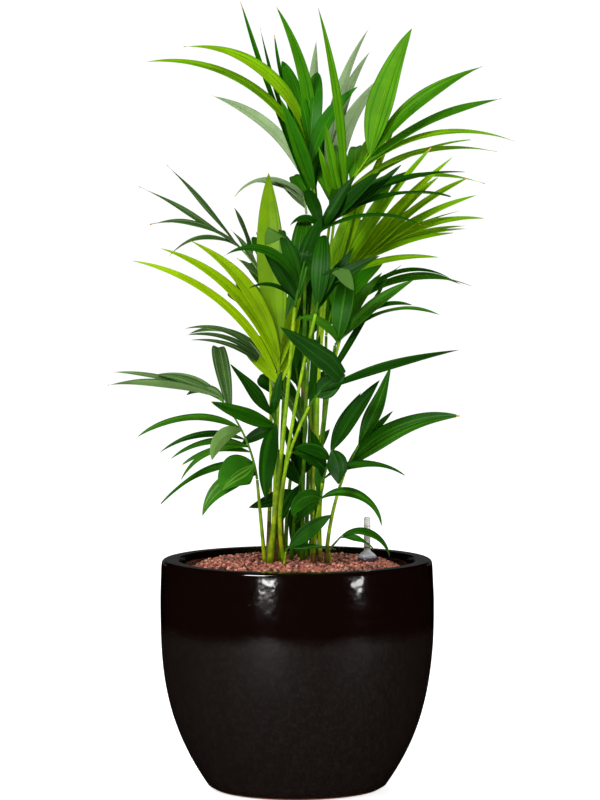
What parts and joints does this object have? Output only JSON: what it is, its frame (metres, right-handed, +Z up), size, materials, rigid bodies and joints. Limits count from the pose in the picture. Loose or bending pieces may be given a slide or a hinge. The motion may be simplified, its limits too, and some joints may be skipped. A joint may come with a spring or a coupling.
{
  "type": "potted kentia palm",
  "caption": "Clump of slim green leaf stalks with arching pinnate fronds, growing in a round dark glazed pot filled with clay granules, with a clear water level gauge.",
  "frame": {"origin": "middle of the pot's flat underside", "axes": "+Z up along the pot's axis, -Y towards the front"},
  "size_m": [0.6292, 0.5485, 1.2383],
  "materials": {
    "pot_glaze": "near-black brown gloss glaze",
    "clay_granules": "matt reddish baked clay",
    "smoky_plastic": "smoky clear plastic",
    "clear_plastic": "clear plastic",
    "stalk_green": "smooth living stalk",
    "leaf_green": "waxy living leaf"
  },
  "bodies": {
    "root": {"clay_bed": "clay_granules", "frond_back_left": "leaf_green", "frond_back_low": "leaf_green", "frond_back_middle": "leaf_green", "frond_back_right": "leaf_green", "frond_centre_low": "leaf_green", "frond_centre_right": "leaf_green", "frond_dark_bundle": "leaf_green", "frond_foot_front": "leaf_green", "frond_front_big": "leaf_green", "frond_front_centre": "leaf_green", "frond_left_dark": "leaf_green", "frond_left_grey": "leaf_green", "frond_left_thin": "leaf_green", "frond_low_left": "leaf_green", "frond_low_right_tiny": "leaf_green", "frond_low_small": "leaf_green", "frond_pale_back": "leaf_green", "frond_pale_left": "leaf_green", "frond_right": "leaf_green", "frond_right_low": "leaf_green", "frond_right_lower_dark": "leaf_green", "frond_right_mid": "leaf_green", "frond_right_thin": "leaf_green", "frond_top_left": "leaf_green", "frond_top_right": "leaf_green", "frond_yellow": "leaf_green", "gauge_foot": "smoky_plastic", "gauge_tube": "clear_plastic", "pot": "pot_glaze", "stalk_back_left": "stalk_green", "stalk_back_low": "stalk_green", "stalk_back_middle": "stalk_green", "stalk_back_right": "stalk_green", "stalk_centre_low": "stalk_green", "stalk_centre_right": "stalk_green", "stalk_dark_bundle": "stalk_green", "stalk_foot_front": "stalk_green", "stalk_front_big": "stalk_green", "stalk_front_centre": "stalk_green", "stalk_left_dark": "stalk_green", "stalk_left_grey": "stalk_green", "stalk_left_thin": "stalk_green", "stalk_low_left": "stalk_green", "stalk_low_right_tiny": "stalk_green", "stalk_low_small": "stalk_green", "stalk_pale_back": "stalk_green", "stalk_pale_left": "stalk_green", "stalk_right": "stalk_green", "stalk_right_low": "stalk_green", "stalk_right_lower_dark": "stalk_green", "stalk_right_mid": "stalk_green", "stalk_right_thin": "stalk_green", "stalk_spear": "stalk_green", "stalk_top_left": "stalk_green", "stalk_top_right": "stalk_green", "stalk_yellow": "stalk_green"}
  },
  "joints": []
}
